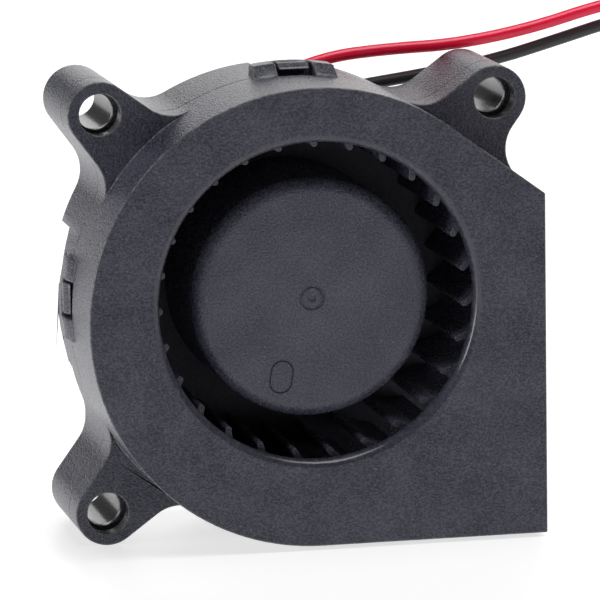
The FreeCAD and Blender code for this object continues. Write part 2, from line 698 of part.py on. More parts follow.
def board_pieces():
    board = turned_piece("circuit_board", "dims.board_y", "dims.board_thick", size["board_radius"],
                         size["tube_radius"])
    back = "dims.board_y + dims.board_thick"
    for number, angle in enumerate(PIN_ANGLES, start=1):
        place = turned(size["pin_circle"], angle)
        pocket(board, f"pin_hole_{number}", "dims.board_y", "dims.board_thick",
               circle(place, size["pin_radius"]), on_axis=True)
        pin = new_body(f"terminal_pin_{number}")
        pad(pin, f"pin_rod_{number}", "dims.core_y + dims.core_length + dims.insulator",
            "dims.pin_end_y - dims.core_y - dims.core_length - dims.insulator",
            circle(place, size["pin_radius"]), on_axis=True)
        joint = new_body(f"pin_solder_{number}")
        pad(joint, f"solder_dot_{number}", back, "dims.pin_end_y - dims.board_y - dims.board_thick",
            circle(place, size["solder_radius"]) + circle(place, size["pin_radius"]), on_axis=True)
    chip = new_body("driver_chip")
    pad(chip, "chip_case", "dims.board_y - dims.chip_height", "dims.chip_height",
        shifted_box(CHIP_PLACE, size["chip_side"], size["chip_side"]), on_axis=True)
    for name, place in (("capacitor", CAPACITOR_PLACE), ("resistor", RESISTOR_PLACE)):
        body = new_body(name)
        pad(body, name + "_case", back, f"dims.{name}_height",
            shifted_box(place, size["part_length"], size["part_width"]), on_axis=True)


# Routes of the two leads, from the solder on the board out through the base plate,
# behind the housing and down to the ground: X, Y, Z.
RED_ROUTE = [
    (-6.5, 7.98, 29.5), (-3.6, 7.98, 34.4), (0.4, 11.3, 38.3), (5.6, 11.5, 40.2),
    (11.5, 11.5, 40.7), (17.5, 11.5, 40.85), (24.5, 11.5, 42.0), (31.2, 11.5, 43.9),
    (37.6, 11.6, 44.9), (43.4, 11.9, 42.6), (47.2, 12.2, 37.4), (49.0, 12.5, 31.4),
    (49.7, 12.9, 25.4), (50.1, 13.3, 19.6), (51.0, 13.6, 14.2), (53.5, 13.9, 9.6),
    (57.8, 14.0, 7.2), (63.0, 14.0, 6.62),
]
BLACK_ROUTE = [
    (-4.4, 7.98, 27.6), (-1.6, 7.98, 32.4), (2.4, 11.4, 36.0), (7.7, 12.0, 37.3),
    (14.0, 12.0, 38.1), (21.0, 12.0, 39.15), (27.5, 12.1, 40.9), (33.5, 12.2, 42.6),
    (39.0, 12.5, 41.6), (42.9, 12.9, 37.4), (45.1, 13.3, 31.6), (46.1, 13.6, 25.4),
    (46.7, 13.8, 19.0), (47.7, 13.9, 12.6), (50.0, 14.0, 6.8), (54.4, 14.0, 2.4),
    (59.4, 14.0, 0.74), (63.0, 14.0, 0.56),
]


def lead_path(name, points):
    """Straight runs joined by tangent arcs, each as large as its two runs allow."""
    corners = [Vector(*p) for p in points]
    edges, radii, last = [], [], corners[0]
    for before, corner, after in zip(corners, corners[1:], corners[2:]):
        back, ahead = before - corner, after - corner
        trim = 0.45 * min(back.Length, ahead.Length)
        start = corner + back.normalize() * trim
        end = corner + ahead.normalize() * trim
        half_turn = (math.pi - back.getAngle(ahead)) / 2
        radius = trim / math.tan(half_turn)
        radii.append(radius)
        bisector = (back + ahead).normalize()
        middle = corner + bisector * (radius / math.cos(half_turn) - radius)
        edges.append(Part.LineSegment(last, start).toShape())
        edges.append(Part.Arc(start, middle, end).toShape())
        last = end
    edges.append(Part.LineSegment(last, corners[-1]).toShape())
    print(name, "arc radii", [round(r, 1) for r in radii])
    return Part.Wire(edges)


def lead_tube(name, points):
    path = lead_path(name, points)
    start = Vector(*points[0])
    section = Part.Wire([Part.makeCircle(
        size["lead_diameter"] / 2, start, Vector(*points[1]) - start)])
    tube = path.makePipeShell([section], True, False)
    expected = math.pi * size["lead_diameter"] ** 2 / 4 * path.Length
    if abs(tube.Volume - expected) > 0.01 * expected:
        raise RuntimeError(name + " has the wrong volume")
    print(name, "length", round(path.Length, 1))
    return tube


def lead(name, points):
    tube = doc.addObject("Part::Feature", name)
    tube.Shape = lead_tube(name, points)
    tube.Placement = Placement(Vector(), Rotation())
    keep(tube, name)


def upright(name, radius, low):
    """An upright cylinder in the middle of the wound leads."""
    rod = doc.addObject("Part::Cylinder", name)
    rod.setExpression("Radius", radius)
    rod.setExpression("Height", "dims.coil_height")
    rod.setExpression("Placement.Base.x", "dims.coil_x")
    rod.setExpression("Placement.Base.y", "dims.coil_y")
    rod.setExpression("Placement.Base.z", low)
    return rod


def straight_lead(name, start, end):
    """A short straight stretch of lead."""
    stretch = doc.addObject("Part::Feature", name)
    stretch.Shape = Part.makeCylinder(
        size["lead_diameter"] / 2, (end - start).Length, start, end - start)
    return stretch


def coil(name, low, route_end, exit_z, contact):
    """The wound turns of one lead, with the short straights that lead in and out."""
    half = f"(dims.lead_diameter / 2 - {COIL_PLAY})"
    turns = doc.addObject("Part::Cut", name + "_turns")
    turns.Base = upright(name + "_outside", "dims.coil_radius + " + half, low)
    turns.Tool = upright(name + "_inside", "dims.coil_radius - " + half, low)
    arrives = Vector(*route_end)
    tangent = Vector(size["coil_x"] + COIL_OVERLAP, arrives.y, arrives.z)
    leaves = Vector(plug_x(), size["coil_y"] + COIL_OVERLAP, exit_z)
    whole = doc.addObject("Part::MultiFuse", name)
    whole.Shapes = [
        turns,
        straight_lead(name + "_entry", arrives, tangent),
        straight_lead(name + "_exit", leaves, Vector(plug_x(), plug_back(), contact)),
    ]
    keep(whole, name)


def plug_x():
    """The connector lies in line with the side of the coil where the leads come off."""
    return size["coil_x"] + size["coil_radius"]


def plug_back():
    """The connector's back face, where the leads go in."""
    return size["coil_y"] - size["plug_gap"]


def contact_z(number):
    """Height of a contact: the first is the lower one."""
    return size["plug_width"] / 2 + (number - 1.5) * size["contact_pitch"]


def square(number, half):
    x, z = plug_x(), contact_z(number)
    return box(x - half, x + half, z - half, z + half)


def plug():
    half = size["plug_thick"] / 2
    mouth = "dims.coil_y - dims.plug_gap - dims.plug_length"
    depth = "dims.plug_length - dims.plug_web"
    body = new_body("connector_housing")
    pad(body, "plug_block", mouth, "dims.plug_length",
        box(plug_x() - half, plug_x() + half, 0, size["plug_width"]))
    outer = size["contact_width"] / 2
    for number in (1, 2):
        pocket(body, f"cavity_{number}", mouth, depth, square(number, outer))
        contact = new_body(f"contact_{number}")
        pad(contact, f"contact_box_{number}", mouth + " + dims.contact_setback",
            depth + " - dims.contact_setback", square(number, outer))
        pocket(contact, f"contact_hole_{number}", mouth + " + dims.contact_setback",
               depth + " - dims.contact_setback - dims.contact_wall",
               square(number, outer - size["contact_wall"]))


def lead_solder(name, point):
    """The solder that holds a lead's end on the board."""
    body = new_body(name)
    half = size["lead_diameter"] / 2
    x, z = point[0] - AXIS.x, point[2] - AXIS.y
    across = Vector(-SOLDER_HEADING.y, SOLDER_HEADING.x, 0) * half
    front = Vector(x, z, 0)
    back = front - SOLDER_HEADING * size["solder_length"]
    pad(body, name + "_dot", "dims.board_y + dims.board_thick", "dims.lead_diameter",
        closed([back - across, front - across, front + across, back + across]), on_axis=True)


front_cover()
rear_housing()
bearing_pieces()
stator_pieces()
board_pieces()
impeller()
rotor_pieces()
lead("red_lead", RED_ROUTE)
lead("black_lead", BLACK_ROUTE)
coil("red_lead_coil", "dims.red_coil_z", RED_ROUTE[-1], RED_EXIT_Z, contact_z(2))
coil("black_lead_coil", "0", BLACK_ROUTE[-1], BLACK_EXIT_Z, contact_z(1))
lead_solder("red_lead_solder", RED_ROUTE[0])
lead_solder("black_lead_solder", BLACK_ROUTE[0])
plug()
doc.recompute()

for item in doc.Objects:
    if "Invalid" in item.State or "Error" in item.State:
        raise RuntimeError(item.Label + " failed")
os.makedirs("parts", exist_ok=True)
for node in NODES:
    shape = node.Shape
    if shape.isNull() or not shape.isValid():
        raise RuntimeError(node.Label + " has no valid shape")
    shape.exportStep(f"parts/{node.Label}.step")
print(len(NODES), "sub-parts")
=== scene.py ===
import json
import math

import bmesh
import bpy
from mathutils import Matrix, Vector


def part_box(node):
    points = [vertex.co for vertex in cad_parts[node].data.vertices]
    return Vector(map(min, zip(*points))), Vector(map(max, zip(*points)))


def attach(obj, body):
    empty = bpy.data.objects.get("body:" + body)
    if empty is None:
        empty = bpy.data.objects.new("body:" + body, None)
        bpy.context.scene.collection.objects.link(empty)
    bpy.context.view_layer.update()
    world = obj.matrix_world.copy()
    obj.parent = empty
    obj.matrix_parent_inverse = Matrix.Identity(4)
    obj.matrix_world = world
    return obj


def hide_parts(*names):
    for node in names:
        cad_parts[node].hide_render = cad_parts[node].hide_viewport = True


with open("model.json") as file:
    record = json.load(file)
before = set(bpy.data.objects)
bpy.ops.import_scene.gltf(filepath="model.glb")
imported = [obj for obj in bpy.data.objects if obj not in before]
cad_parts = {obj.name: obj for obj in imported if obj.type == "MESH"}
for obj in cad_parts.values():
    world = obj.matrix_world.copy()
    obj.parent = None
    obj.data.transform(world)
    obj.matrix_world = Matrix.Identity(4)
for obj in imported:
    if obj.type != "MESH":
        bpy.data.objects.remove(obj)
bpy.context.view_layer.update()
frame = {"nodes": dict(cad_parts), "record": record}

millimetre = 0.001


# The camera stands a little left of the inlet and above it, and looks down at the fan
# through a long lens, as the photograph was taken.
camera_place = (-0.0973, -0.4539, 0.1003)
view_along = Vector((0.2076, 0.9634, -0.1698)).normalized()
view_up = Vector((0.0501, 0.1629, 0.9854))
view_right = view_along.cross(view_up).normalized()
view_up = view_right.cross(view_along)
lens = bpy.data.cameras.new("view")
lens.sensor_width = 36
lens.lens = 322.1
lens.clip_start = 0.01
camera = bpy.data.objects.new("view", lens)
bpy.context.collection.objects.link(camera)
turned = Matrix((view_right, view_up, -view_along)).transposed()
camera.matrix_world = Matrix.Translation(camera_place) @ turned.to_4x4()
bpy.context.scene.camera = camera
bpy.context.scene.view_settings.view_transform = "Standard"


# The two leads are stranded copper in a smooth flexible sleeve. Each is soldered to the
# board, leaves by its slot in the base plate, rises behind the housing and comes down to
# the ground, where the rest of its length is wound up and ends in the connector. The
# routes and the coil are in millimetres.
lead_diameter = 1.1 * millimetre
coil_middle = Vector((66.0, 8.0))
coil_radius = 6.0
coil_turns = 2.25
points_a_turn = 16
coil_pitch = 1.1
plug_gap = 2.6
plug_entry = 1.4
red_contact_height = 5.0
black_contact_height = 2.5
red_route = [
    (-6.5, 7.98, 29.5), (-3.6, 7.98, 34.4), (0.4, 11.3, 38.3), (5.6, 11.5, 40.2),
    (11.5, 11.5, 40.7), (17.5, 11.5, 40.85), (24.5, 11.5, 42.0), (31.2, 11.5, 43.9),
    (37.6, 11.6, 44.9), (43.4, 11.9, 42.6), (47.2, 12.2, 37.4), (49.0, 12.5, 31.4),
    (49.7, 12.9, 25.4), (50.1, 13.3, 19.6), (51.0, 13.6, 14.2), (53.5, 13.9, 9.6),
    (57.8, 14.0, 7.2), (63.0, 14.0, 6.62),
]
black_route = [
    (-4.4, 7.98, 27.6), (-1.6, 7.98, 32.4), (2.4, 11.4, 36.0), (7.7, 12.0, 37.3),
    (14.0, 12.0, 38.1), (21.0, 12.0, 39.15), (27.5, 12.1, 40.9), (33.5, 12.2, 42.6),
    (39.0, 12.5, 41.6), (42.9, 12.9, 37.4), (45.1, 13.3, 31.6), (46.1, 13.6, 25.4),
    (46.7, 13.8, 19.0), (47.7, 13.9, 12.6), (50.0, 14.0, 6.8), (54.4, 14.0, 2.4),
    (59.4, 14.0, 0.74), (63.0, 14.0, 0.56),
]


def wound(start_z, step):
    """The coil's points, clockwise from above, that climb or sink by step in each turn."""
    outside = coil_radius / math.cos(math.pi / points_a_turn)
    points = []
    for number in range(int(coil_turns * points_a_turn)):
        angle = math.pi / 2 - (number + 0.5) * 2 * math.pi / points_a_turn
        spot = coil_middle + outside * Vector((math.cos(angle), math.sin(angle)))
        points.append((spot.x, spot.y, start_z + step * (number + 0.5) / points_a_turn))
    return points


def lead_curve(name, route, step, contact_z):
    """One lead as a smooth curve from its solder joint to its contact."""
    start_z = route[-1][2]
    end_z = start_z + step * coil_turns
    side = coil_middle.x + coil_radius
    way_out = [(side, coil_middle.y - plug_gap, end_z), (side, plug_entry, contact_z)]
    line = bpy.data.curves.new(name, "CURVE")
    line.dimensions = "3D"
    line.bevel_depth = 1.0
    line.bevel_resolution = 5
    line.resolution_u = 10
    line.use_fill_caps = True
    spline = line.splines.new("NURBS")
    points = route + wound(start_z, step) + way_out
    spline.points.add(len(points) - 1)
    for knot, point in zip(spline.points, points):
        knot.co = (*(Vector(point) * millimetre), 1)
        knot.radius = lead_diameter / 2
    spline.order_u = 3
    spline.use_endpoint_u = True
    lead = bpy.data.objects.new(name, line)
    bpy.context.collection.objects.link(lead)
    return lead


def lead_length(lead):
    """The length of a lead along its middle."""
    line = lead.data.copy()
    line.bevel_depth = 0
    thread = bpy.data.objects.new("thread", line)
    mesh = bpy.data.meshes.new_from_object(thread)
    spots = [vertex.co.copy() for vertex in mesh.vertices]
    bpy.data.meshes.remove(mesh)
    bpy.data.objects.remove(thread)
    bpy.data.curves.remove(line)
    return sum((b - a).length for a, b in zip(spots, spots[1:]))


red = lead_curve("red_wire", red_route, -coil_pitch, red_contact_height)
black = lead_curve("black_wire", black_route, coil_pitch, black_contact_height)
for lead, colour in ((red, "red"), (black, "black")):
    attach(lead, "housing")
    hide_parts(colour + "_lead", colour + "_lead_coil")


# The sleeve of each lead is soft plastic, extruded smooth, with the faint lengthwise
# ripple that the strands leave in it.
def lead_sleeve(name, colour, roughness):
    """Soft plastic of one colour that light enters a little way."""
    material = bpy.data.materials.new(name)
    material.use_nodes = True
    nodes, links = material.node_tree.nodes, material.node_tree.links
    skin = nodes["Principled BSDF"]
    skin.inputs["Roughness"].default_value = roughness
    skin.inputs["Subsurface Weight"].default_value = 0.5
    skin.inputs["Subsurface Radius"].default_value = (1, 0.2, 0.2)
    skin.inputs["Subsurface Scale"].default_value = millimetre
    place = nodes.new("ShaderNodeTexCoord")
    ripple = nodes.new("ShaderNodeTexNoise")
    ripple.inputs["Scale"].default_value = 900
    ripple.inputs["Detail"].default_value = 2
    links.new(place.outputs["Object"], ripple.inputs["Vector"])
    shade = nodes.new("ShaderNodeMix")
    shade.data_type = "RGBA"
    shade.inputs["A"].default_value = (*(channel * 0.93 for channel in colour), 1)
    shade.inputs["B"].default_value = (*colour, 1)
    links.new(ripple.outputs["Fac"], shade.inputs["Factor"])
    links.new(shade.outputs["Result"], skin.inputs["Base Color"])
    bump = nodes.new("ShaderNodeBump")
    bump.inputs["Strength"].default_value = 0.12
    bump.inputs["Distance"].default_value = 0.05 * millimetre
    links.new(ripple.outputs["Fac"], bump.inputs["Height"])
    links.new(bump.outputs["Normal"], skin.inputs["Normal"])
    return material


red.data.materials.append(lead_sleeve("red sleeve", (1.0, 0.01, 0.075), 0.27))
black.data.materials.append(lead_sleeve("black sleeve", (0.045, 0.046, 0.05), 0.48))


# The ground is a white sheet that carries on past the picture and glows a little, as paper
# lit from all round does. The tent round it is dimmer in front, and soft lamps stand above,
# behind and at the left.
ground_mesh = bmesh.new()
bmesh.ops.create_grid(ground_mesh, x_segments=1, y_segments=1, size=6)
ground_data = bpy.data.meshes.new("ground")
ground_mesh.to_mesh(ground_data)
ground_mesh.free()
ground = bpy.data.objects.new("ground", ground_data)
bpy.context.collection.objects.link(ground)
ground_paint = bpy.data.materials.new("white ground")
ground_paint.use_nodes = True
ground_skin = ground_paint.node_tree.nodes["Principled BSDF"]
ground_skin.inputs["Base Color"].default_value = (0.5, 0.5, 0.51, 1)
ground_skin.inputs["Roughness"].default_value = 0.4
ground_skin.inputs["Emission Color"].default_value = (1, 1, 1, 1)
ground_skin.inputs["Emission Strength"].default_value = 0.66
ground.data.materials.append(ground_paint)

tent = bpy.data.worlds.new("tent")
bpy.context.scene.world = tent
tent.use_nodes = True
tent_nodes, tent_links = tent.node_tree.nodes, tent.node_tree.links
tent_light = tent_nodes["Background"]
towards = tent_nodes.new("ShaderNodeTexCoord")
parts = tent_nodes.new("ShaderNodeSeparateXYZ")
tent_links.new(towards.outputs["Generated"], parts.inputs["Vector"])
depth = tent_nodes.new("ShaderNodeMapRange")
depth.inputs["From Min"].default_value = -0.6
depth.inputs["From Max"].default_value = 0.6
depth.inputs["To Min"].default_value = 1.1
depth.inputs["To Max"].default_value = 2.6
tent_links.new(parts.outputs["Y"], depth.inputs["Value"])
ray = tent_nodes.new("ShaderNodeLightPath")
strength = tent_nodes.new("ShaderNodeMix")
strength.inputs["B"].default_value = 1.0
tent_links.new(ray.outputs["Is Camera Ray"], strength.inputs["Factor"])
tent_links.new(depth.outputs["Result"], strength.inputs["A"])
tent_links.new(strength.outputs["Result"], tent_light.inputs["Strength"])


def lamp(name, place, aim, width, power):
    """A square soft lamp that faces a point."""
    light = bpy.data.lights.new(name, "AREA")
    light.size = width
    light.energy = power
    holder = bpy.data.objects.new(name, light)
    holder.location = place
    holder.rotation_euler = (Vector(aim) - Vector(place)).to_track_quat("-Z", "Y").to_euler()
    bpy.context.collection.objects.link(holder)
    return holder


fan_middle = (0, 0, 0.02)
lamp("top lamp", (0.08, -0.08, 0.6), fan_middle, 0.4, 2.4)
lamp("rear lamp", (0.22, 0.7, 0.17), fan_middle, 0.5, 0.9)
lamp("left lamp", (-0.6, -0.08, 0.1), fan_middle, 0.3, 1.9)


# The two shells are moulded in black glass-filled plastic. Their moulds are spark-eroded,
# which leaves a matte grain, drawn out a little where the walls slid off the mould.
weld = 1e-6
flat_angle = math.radians(0.4)
sharp_angle = math.radians(32)
run_on_cosine = -0.8

# The walls of the bores and the lip of the inlet are told by how near they are to their axis
# and by how little their normals lean towards the front.
bore_reach = 2.4 * millimetre
bore_lean = 0.5
lip_reach = 17.0 * millimetre
lip_depth = 0.8 * millimetre
lip_lean = 0.98

# The recess in the left wall is given by radii and depths in millimetres and by angles in
# degrees about the scroll's middle, anticlockwise from the right. The slack, in either unit,
# takes up rounding.
scroll_height = 20.35 * millimetre
scroll_radius = 20.0
recess_angles = (160, 173, 181, 187, 200, 213)
recess_depths = (0.95, 0.95, 0.7, 0.58, 0.55, 0.0)
recess_end = 200
recess_rim = 19.5
least_radius = 19.4
slack = 0.05


def new_group(name, inputs, outputs):
    """A node group with named sockets and their starting values."""
    group = bpy.data.node_groups.new(name, "ShaderNodeTree")
    kinds = {1: "NodeSocketFloat", 3: "NodeSocketVector", 4: "NodeSocketColor"}
    for label, value in inputs.items():
        numbers = len(value) if isinstance(value, tuple) else 1
        socket = group.interface.new_socket(label, in_out="INPUT", socket_type=kinds[numbers])
        socket.default_value = value
    for label in outputs:
        kind = "NodeSocketColor" if label == "Colour" else "NodeSocketFloat"
        group.interface.new_socket(label, in_out="OUTPUT", socket_type=kind)
    return group


def grain_group():
    """The grain of a moulding, with cloudy patches and pale flecks."""
    group = new_group("moulded grain", {
        "Body": (0.04, 0.04, 0.046, 1),
        "Rubbed": (0.09, 0.092, 0.095, 1),
        "Grain": 5200.0,
        "Contrast": 0.3,
        "Flecks": 0.5,
        "Roughness": 0.55,
    }, ("Colour", "Roughness", "Height"))
    nodes, links = group.nodes, group.links
    given = nodes.new("NodeGroupInput")
    put_out = nodes.new("NodeGroupOutput")
    place = nodes.new("ShaderNodeTexCoord")
    drawn = nodes.new("ShaderNodeMapping")
    drawn.inputs["Scale"].default_value = (1, 0.35, 1)
    links.new(place.outputs["Object"], drawn.inputs["Vector"])

    def noise(detail):
        texture = nodes.new("ShaderNodeTexNoise")
        texture.inputs["Detail"].default_value = detail
        links.new(drawn.outputs["Vector"], texture.inputs["Vector"])
        return texture

    def stretch(texture, low, high):
        ramp = nodes.new("ShaderNodeMapRange")
        ramp.inputs["From Min"].default_value = low
        ramp.inputs["From Max"].default_value = high
        links.new(texture.outputs["Fac"], ramp.inputs["Value"])
        return ramp

    fine = noise(3)
    links.new(given.outputs["Grain"], fine.inputs["Scale"])
    links.new(fine.outputs["Fac"], put_out.inputs["Height"])
    grainy = stretch(fine, 0.42, 0.66)
    links.new(given.outputs["Contrast"], grainy.inputs["To Max"])

    clouds = noise(6)
    clouds.inputs["Scale"].default_value = 260
    cloudy = stretch(clouds, 0.35, 0.75)
    cloudy.inputs["To Max"].default_value = 0.3

    specks = noise(1)
    specks.inputs["Scale"].default_value = 3400
    flecked = stretch(specks, 0.68, 0.76)
    links.new(given.outputs["Flecks"], flecked.inputs["To Max"])

    mask = nodes.new("ShaderNodeMath")
    mask.operation = "MAXIMUM"
    links.new(cloudy.outputs["Result"], mask.inputs[0])
    links.new(flecked.outputs["Result"], mask.inputs[1])
    speckled = nodes.new("ShaderNodeMath")
    speckled.operation = "ADD"
    speckled.use_clamp = True
    links.new(mask.outputs["Value"], speckled.inputs[0])
    links.new(grainy.outputs["Result"], speckled.inputs[1])
    shade = nodes.new("ShaderNodeMix")
    shade.data_type = "RGBA"
    links.new(speckled.outputs["Value"], shade.inputs["Factor"])
    links.new(given.outputs["Body"], shade.inputs["A"])
    links.new(given.outputs["Rubbed"], shade.inputs["B"])
    links.new(shade.outputs["Result"], put_out.inputs["Colour"])

    uneven = nodes.new("ShaderNodeMath")
    uneven.operation = "MULTIPLY_ADD"
    uneven.inputs[1].default_value = 0.16
    links.new(fine.outputs["Fac"], uneven.inputs[0])
    links.new(given.outputs["Roughness"], uneven.inputs[2])
    links.new(uneven.outputs["Value"], put_out.inputs["Roughness"])
    return group


def finish(name, group, depth, metallic=0.0, **values):
    """A material whose colour, roughness and relief come from a group; depth in millimetres."""
    material = bpy.data.materials.new(name)
    material.use_nodes = True
    nodes, links = material.node_tree.nodes, material.node_tree.links
    skin = nodes["Principled BSDF"]
    skin.inputs["Metallic"].default_value = metallic
    made = nodes.new("ShaderNodeGroup")
    made.node_tree = group
    for label, value in values.items():
        made.inputs[label].default_value = value
    links.new(made.outputs["Colour"], skin.inputs["Base Color"])
    links.new(made.outputs["Roughness"], skin.inputs["Roughness"])
    bump = nodes.new("ShaderNodeBump")
    bump.inputs["Strength"].default_value = 1.0
    bump.inputs["Distance"].default_value = depth * millimetre
    links.new(made.outputs["Height"], bump.inputs["Height"])
    links.new(bump.outputs["Normal"], skin.inputs["Normal"])
    return material


def merged_copy(node):
    """A sub-part's shape with whole faces, ready to be worked on."""
    work = bmesh.new()
    work.from_mesh(frame["nodes"][node].data)
    bmesh.ops.remove_doubles(work, verts=work.verts, dist=weld)
    bmesh.ops.dissolve_limit(work, angle_limit=flat_angle, verts=work.verts, edges=work.edges)
    for face in work.faces:
        face.material_index = 0
    return work


def has_room(corner, sharp, room):
    """Whether each edge at a corner is longer than room, or is short but part of a smooth run."""
    runs = {}
    for edge in corner.link_edges:
        runs[edge] = (edge.other_vert(corner).co - corner.co).normalized()
    for edge, run in runs.items():
        if edge.calc_length() > room:
            continue
        onward = [other for other, way in runs.items() if run.dot(way) < run_on_cosine]
        if edge not in sharp or sharp.isdisjoint(onward):
            return False
    return True


def rounded(work, name, node, body, rounding, room, materials):
    """The piece that takes a sub-part's place. Its sharp edges are rounded, in the last of its
    materials, where they have room; rounding and room are in millimetres."""
    weights = work.edges.layers.float.new("bevel_weight_edge")
    for face in work.faces:
        face.smooth = True
    sharp = {edge for edge in work.edges if edge.calc_face_angle(0) > sharp_angle}
    for edge in sharp:
        fits = all(has_room(corner, sharp, room * millimetre) for corner in edge.verts)
        edge[weights] = float(fits)
    mesh = bpy.data.meshes.new(name)
    work.to_mesh(mesh)
    work.free()
    for material in materials:
        mesh.materials.append(material)
    piece = bpy.data.objects.new(name, mesh)
    bpy.context.collection.objects.link(piece)
    bevel = piece.modifiers.new("rounded edges", "BEVEL")
    bevel.width = rounding * millimetre
    bevel.segments = 2
    bevel.limit_method = "WEIGHT"
    bevel.use_clamp_overlap = False
    # The rounded faces take the last material; on the shells that is a lighter plastic, a painted
    # highlight along each edge.
    bevel.material = len(materials) - 1
    weighted = piece.modifiers.new("flat faces", "WEIGHTED_NORMAL")
    weighted.weight = 100
    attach(piece, body)
    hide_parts(node)
    return piece


def smooth_bores(work):
    """The screw holes' walls, from polished core pins, take the second material."""
    for mount in frame["record"]["mounts"]:
        if not mount["name"].startswith("screw_hole"):
            continue
        axis_x, _, axis_z = mount["pos_m"]
        for face in work.faces:
            middle = face.calc_center_median()
            away = math.hypot(middle.x - axis_x, middle.z - axis_z)
            if away < bore_reach and abs(face.normal.y) < bore_lean:
                face.material_index = 1


def bright_lip(work):
    """The rounded lip of the inlet, which its core leaves bright, takes the third material."""
    axis_z = (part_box("shaft")[0][2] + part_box("shaft")[1][2]) / 2
    front_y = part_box("front_cover")[0][1]
    for face in work.faces:
        middle = face.calc_center_median()
        away = math.hypot(middle.x, middle.z - axis_z)
        at_lip = away < lip_reach and middle.y < front_y + lip_depth
        if at_lip and abs(face.normal.y) < lip_lean:
            face.material_index = 2


def set_back(angle):
    """How many millimetres the left wall's rear part is set back at an angle about the scroll."""
    steps = list(zip(recess_angles, recess_depths))
    for (low, near), (high, far) in zip(steps, steps[1:]):
        if low <= angle < high:
            share = (angle - low) / (high - low)
            return near + share * (far - near)
    return 0.0


def ease_recess(work):
    """Where the left wall is set back, it comes out to its full radius little by little. The
    recess gets one smooth floor, and the wall below it moves in over the shell's whole depth."""
    moves = {}
    for corner in work.verts:
        out = Vector((corner.co.x, corner.co.z - scroll_height))
        angle = math.degrees(math.atan2(out.y, out.x)) % 360
        reach = out.length / millimetre
        depth = set_back(angle)
        if depth == 0 or reach < scroll_radius - recess_depths[0] - slack:
            continue
        if angle < recess_end + slack and reach < recess_rim:
            reach = scroll_radius - depth
        elif angle > recess_end - slack:
            reach = max(reach - depth, least_radius)
        spot = out.normalized() * reach * millimetre
        moves[corner] = Vector((spot.x, corner.co.y, scroll_height + spot.y))
    touched = {face for corner in moves for face in corner.link_faces if len(face.verts) > 3}
    bmesh.ops.triangulate(work, faces=list(touched))
    for corner, spot in moves.items():
        corner.co = spot
    bmesh.ops.remove_doubles(work, verts=work.verts, dist=weld)
    bmesh.ops.dissolve_degenerate(work, dist=weld, edges=work.edges)


grain = grain_group()
shell = finish("shell plastic", grain, 0.1, Body=(0.017, 0.017, 0.033, 1),
               Rubbed=(0.115, 0.115, 0.15, 1), Grain=6400, Contrast=0.5, Flecks=1.0, Roughness=0.2)
pin_smooth = finish("pin smooth plastic", grain, 0.01, Body=(0.04, 0.04, 0.05, 1),
                    Rubbed=(0.1, 0.1, 0.12, 1), Grain=5200, Contrast=0.4, Flecks=0.2, Roughness=0.12)
# The shells' rounded edges get a lighter plastic than their faces: a painted highlight along every
# edge.
painted_edge_highlight = finish("shell edge painted highlight", grain, 0.02, Body=(0.06, 0.06, 0.07, 1),
                    Rubbed=(0.2, 0.2, 0.21, 1), Grain=3000, Contrast=0.6, Flecks=0.9, Roughness=0.2)
lip_smooth = finish("lip smooth plastic", grain, 0.01, Body=(0.028, 0.028, 0.042, 1),
                    Rubbed=(0.09, 0.09, 0.11, 1), Grain=4000, Contrast=0.5, Flecks=0.4,
                    Roughness=0.1)
shell_materials = (shell, pin_smooth, lip_smooth, painted_edge_highlight)
front = merged_copy("front_cover")
rear = merged_copy("rear_housing")
ease_recess(rear)
smooth_bores(front)
smooth_bores(rear)
bright_lip(front)
rounded(front, "front_shell", "front_cover", "housing", rounding=0.12, room=0,
        materials=shell_materials)
rounded(rear, "rear_shell", "rear_housing", "housing", rounding=0.15, room=0.3,
        materials=shell_materials)


# The impeller is moulded in one piece from a finer black plastic: a closed hub, a disc
# behind it and 27 curved blades that stand free at the front. The mould's face for the
# disc is left rough, so the disc is dull.
rotor = finish("rotor plastic", grain, 0.08, Body=(0.029, 0.029, 0.05, 1),
               Rubbed=(0.125, 0.125, 0.16, 1), Grain=6200, Contrast=0.6, Flecks=0.9, Roughness=0.2)
disc = finish("disc plastic", grain, 0.02, Body=(0.05, 0.05, 0.07, 1),
              Rubbed=(0.12, 0.12, 0.15, 1), Grain=5000, Contrast=0.4, Flecks=0.3, Roughness=0.6)
wheel = merged_copy("impeller")
wheel_middle = (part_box("impeller")[0][1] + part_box("impeller")[1][1]) / 2
faces_front = -0.9
for face in wheel.faces:
    if face.normal.y < faces_front and face.calc_center_median().y > wheel_middle:
        face.material_index = 1
rounded(wheel, "drum_impeller", "impeller", "rotor", rounding=0.05, room=0,
        materials=(rotor, disc, rotor))


